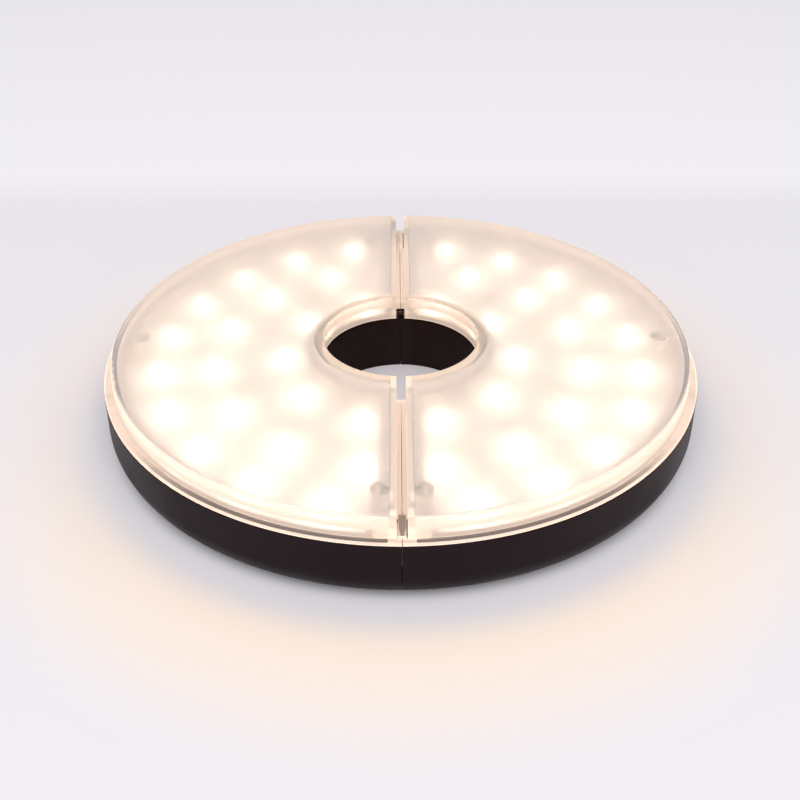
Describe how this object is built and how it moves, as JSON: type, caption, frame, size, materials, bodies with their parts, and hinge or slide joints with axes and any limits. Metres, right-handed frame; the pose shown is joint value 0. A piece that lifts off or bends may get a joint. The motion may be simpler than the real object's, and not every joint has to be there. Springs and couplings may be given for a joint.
{
  "type": "patio umbrella light",
  "caption": "Round battery LED light in two hinged D-shaped halves with frosted diffusers, which close round an umbrella pole and catch at the front.",
  "frame": {"origin": "centre of the flat back, on the axis of the pole hole", "axes": "+Z along the pole towards the diffusers, the way the light shines; -Y to the front catch; +Y to the hinge; +X right"},
  "size_m": [0.19, 0.19, 0.0276],
  "materials": {
    "housing_plastic": "fine moulded texture, satin black-brown",
    "diffuser_frost": "frosted inside, clear polished edges",
    "board_white": "white solder mask",
    "led_emitter": "warm white LED packages, lit",
    "pad_rubber": "matte black rubber",
    "contact_nickel": "nickel-plated spring steel",
    "screw_steel": "zinc-plated",
    "pin_steel": "dark plated steel",
    "cell_wrap": "plain shrink-wrapped can",
    "door_plastic": "fine moulded texture, satin black-brown",
    "catch_nylon": "natural grey nylon",
    "button_plastic": "satin dark grey",
    "switch_body": "black moulded switch body"
  },
  "bodies": {
    "left_half": {"housing_left": "housing_plastic", "diffuser_left": "diffuser_frost", "led_board_left": "board_white", "leds_left": "led_emitter", "pole_pad_left": "pad_rubber", "cell_contacts_left": "contact_nickel", "housing_screws_left": "screw_steel", "board_screws_left": "screw_steel", "cell_inner_left": "cell_wrap", "cell_outer_left": "cell_wrap", "hinge_pin": "pin_steel", "catch": "catch_nylon", "dowel": "pin_steel", "power_switch": "switch_body", "control_board": "board_white"},
    "right_half": {"housing_right": "housing_plastic", "diffuser_right": "diffuser_frost", "led_board_right": "board_white", "leds_right": "led_emitter", "pole_pad_right": "pad_rubber", "cell_contacts_right": "contact_nickel", "housing_screws_right": "screw_steel", "board_screws_right": "screw_steel", "cell_inner_right": "cell_wrap", "cell_outer_right": "cell_wrap"},
    "door_left": {"battery_door_left": "door_plastic"},
    "door_right": {"battery_door_right": "door_plastic"},
    "button": {"power_button": "button_plastic"}
  },
  "joints": [
    {"name": "half_hinge", "type": "hinge", "parent": "left_half", "child": "right_half", "pos_m": [0, 0.0882, 0], "axis": [0, 0, 1], "range_deg": [0, 36]},
    {"name": "door_left_hinge", "type": "hinge", "parent": "left_half", "child": "door_left", "pos_m": [-0.0339, 0, 0.0012], "axis": [0, -1, 0], "range_deg": [0, 80]},
    {"name": "door_right_hinge", "type": "hinge", "parent": "right_half", "child": "door_right", "pos_m": [0.0339, 0, 0.0012], "axis": [0, 1, 0], "range_deg": [0, 80]},
    {"name": "button_press", "type": "slide", "parent": "left_half", "child": "button", "axis": [0, 0, 1], "range_m": [0, 0.001], "stiffness_N_per_m": 1000, "springref_m": -0.001}
  ]
}
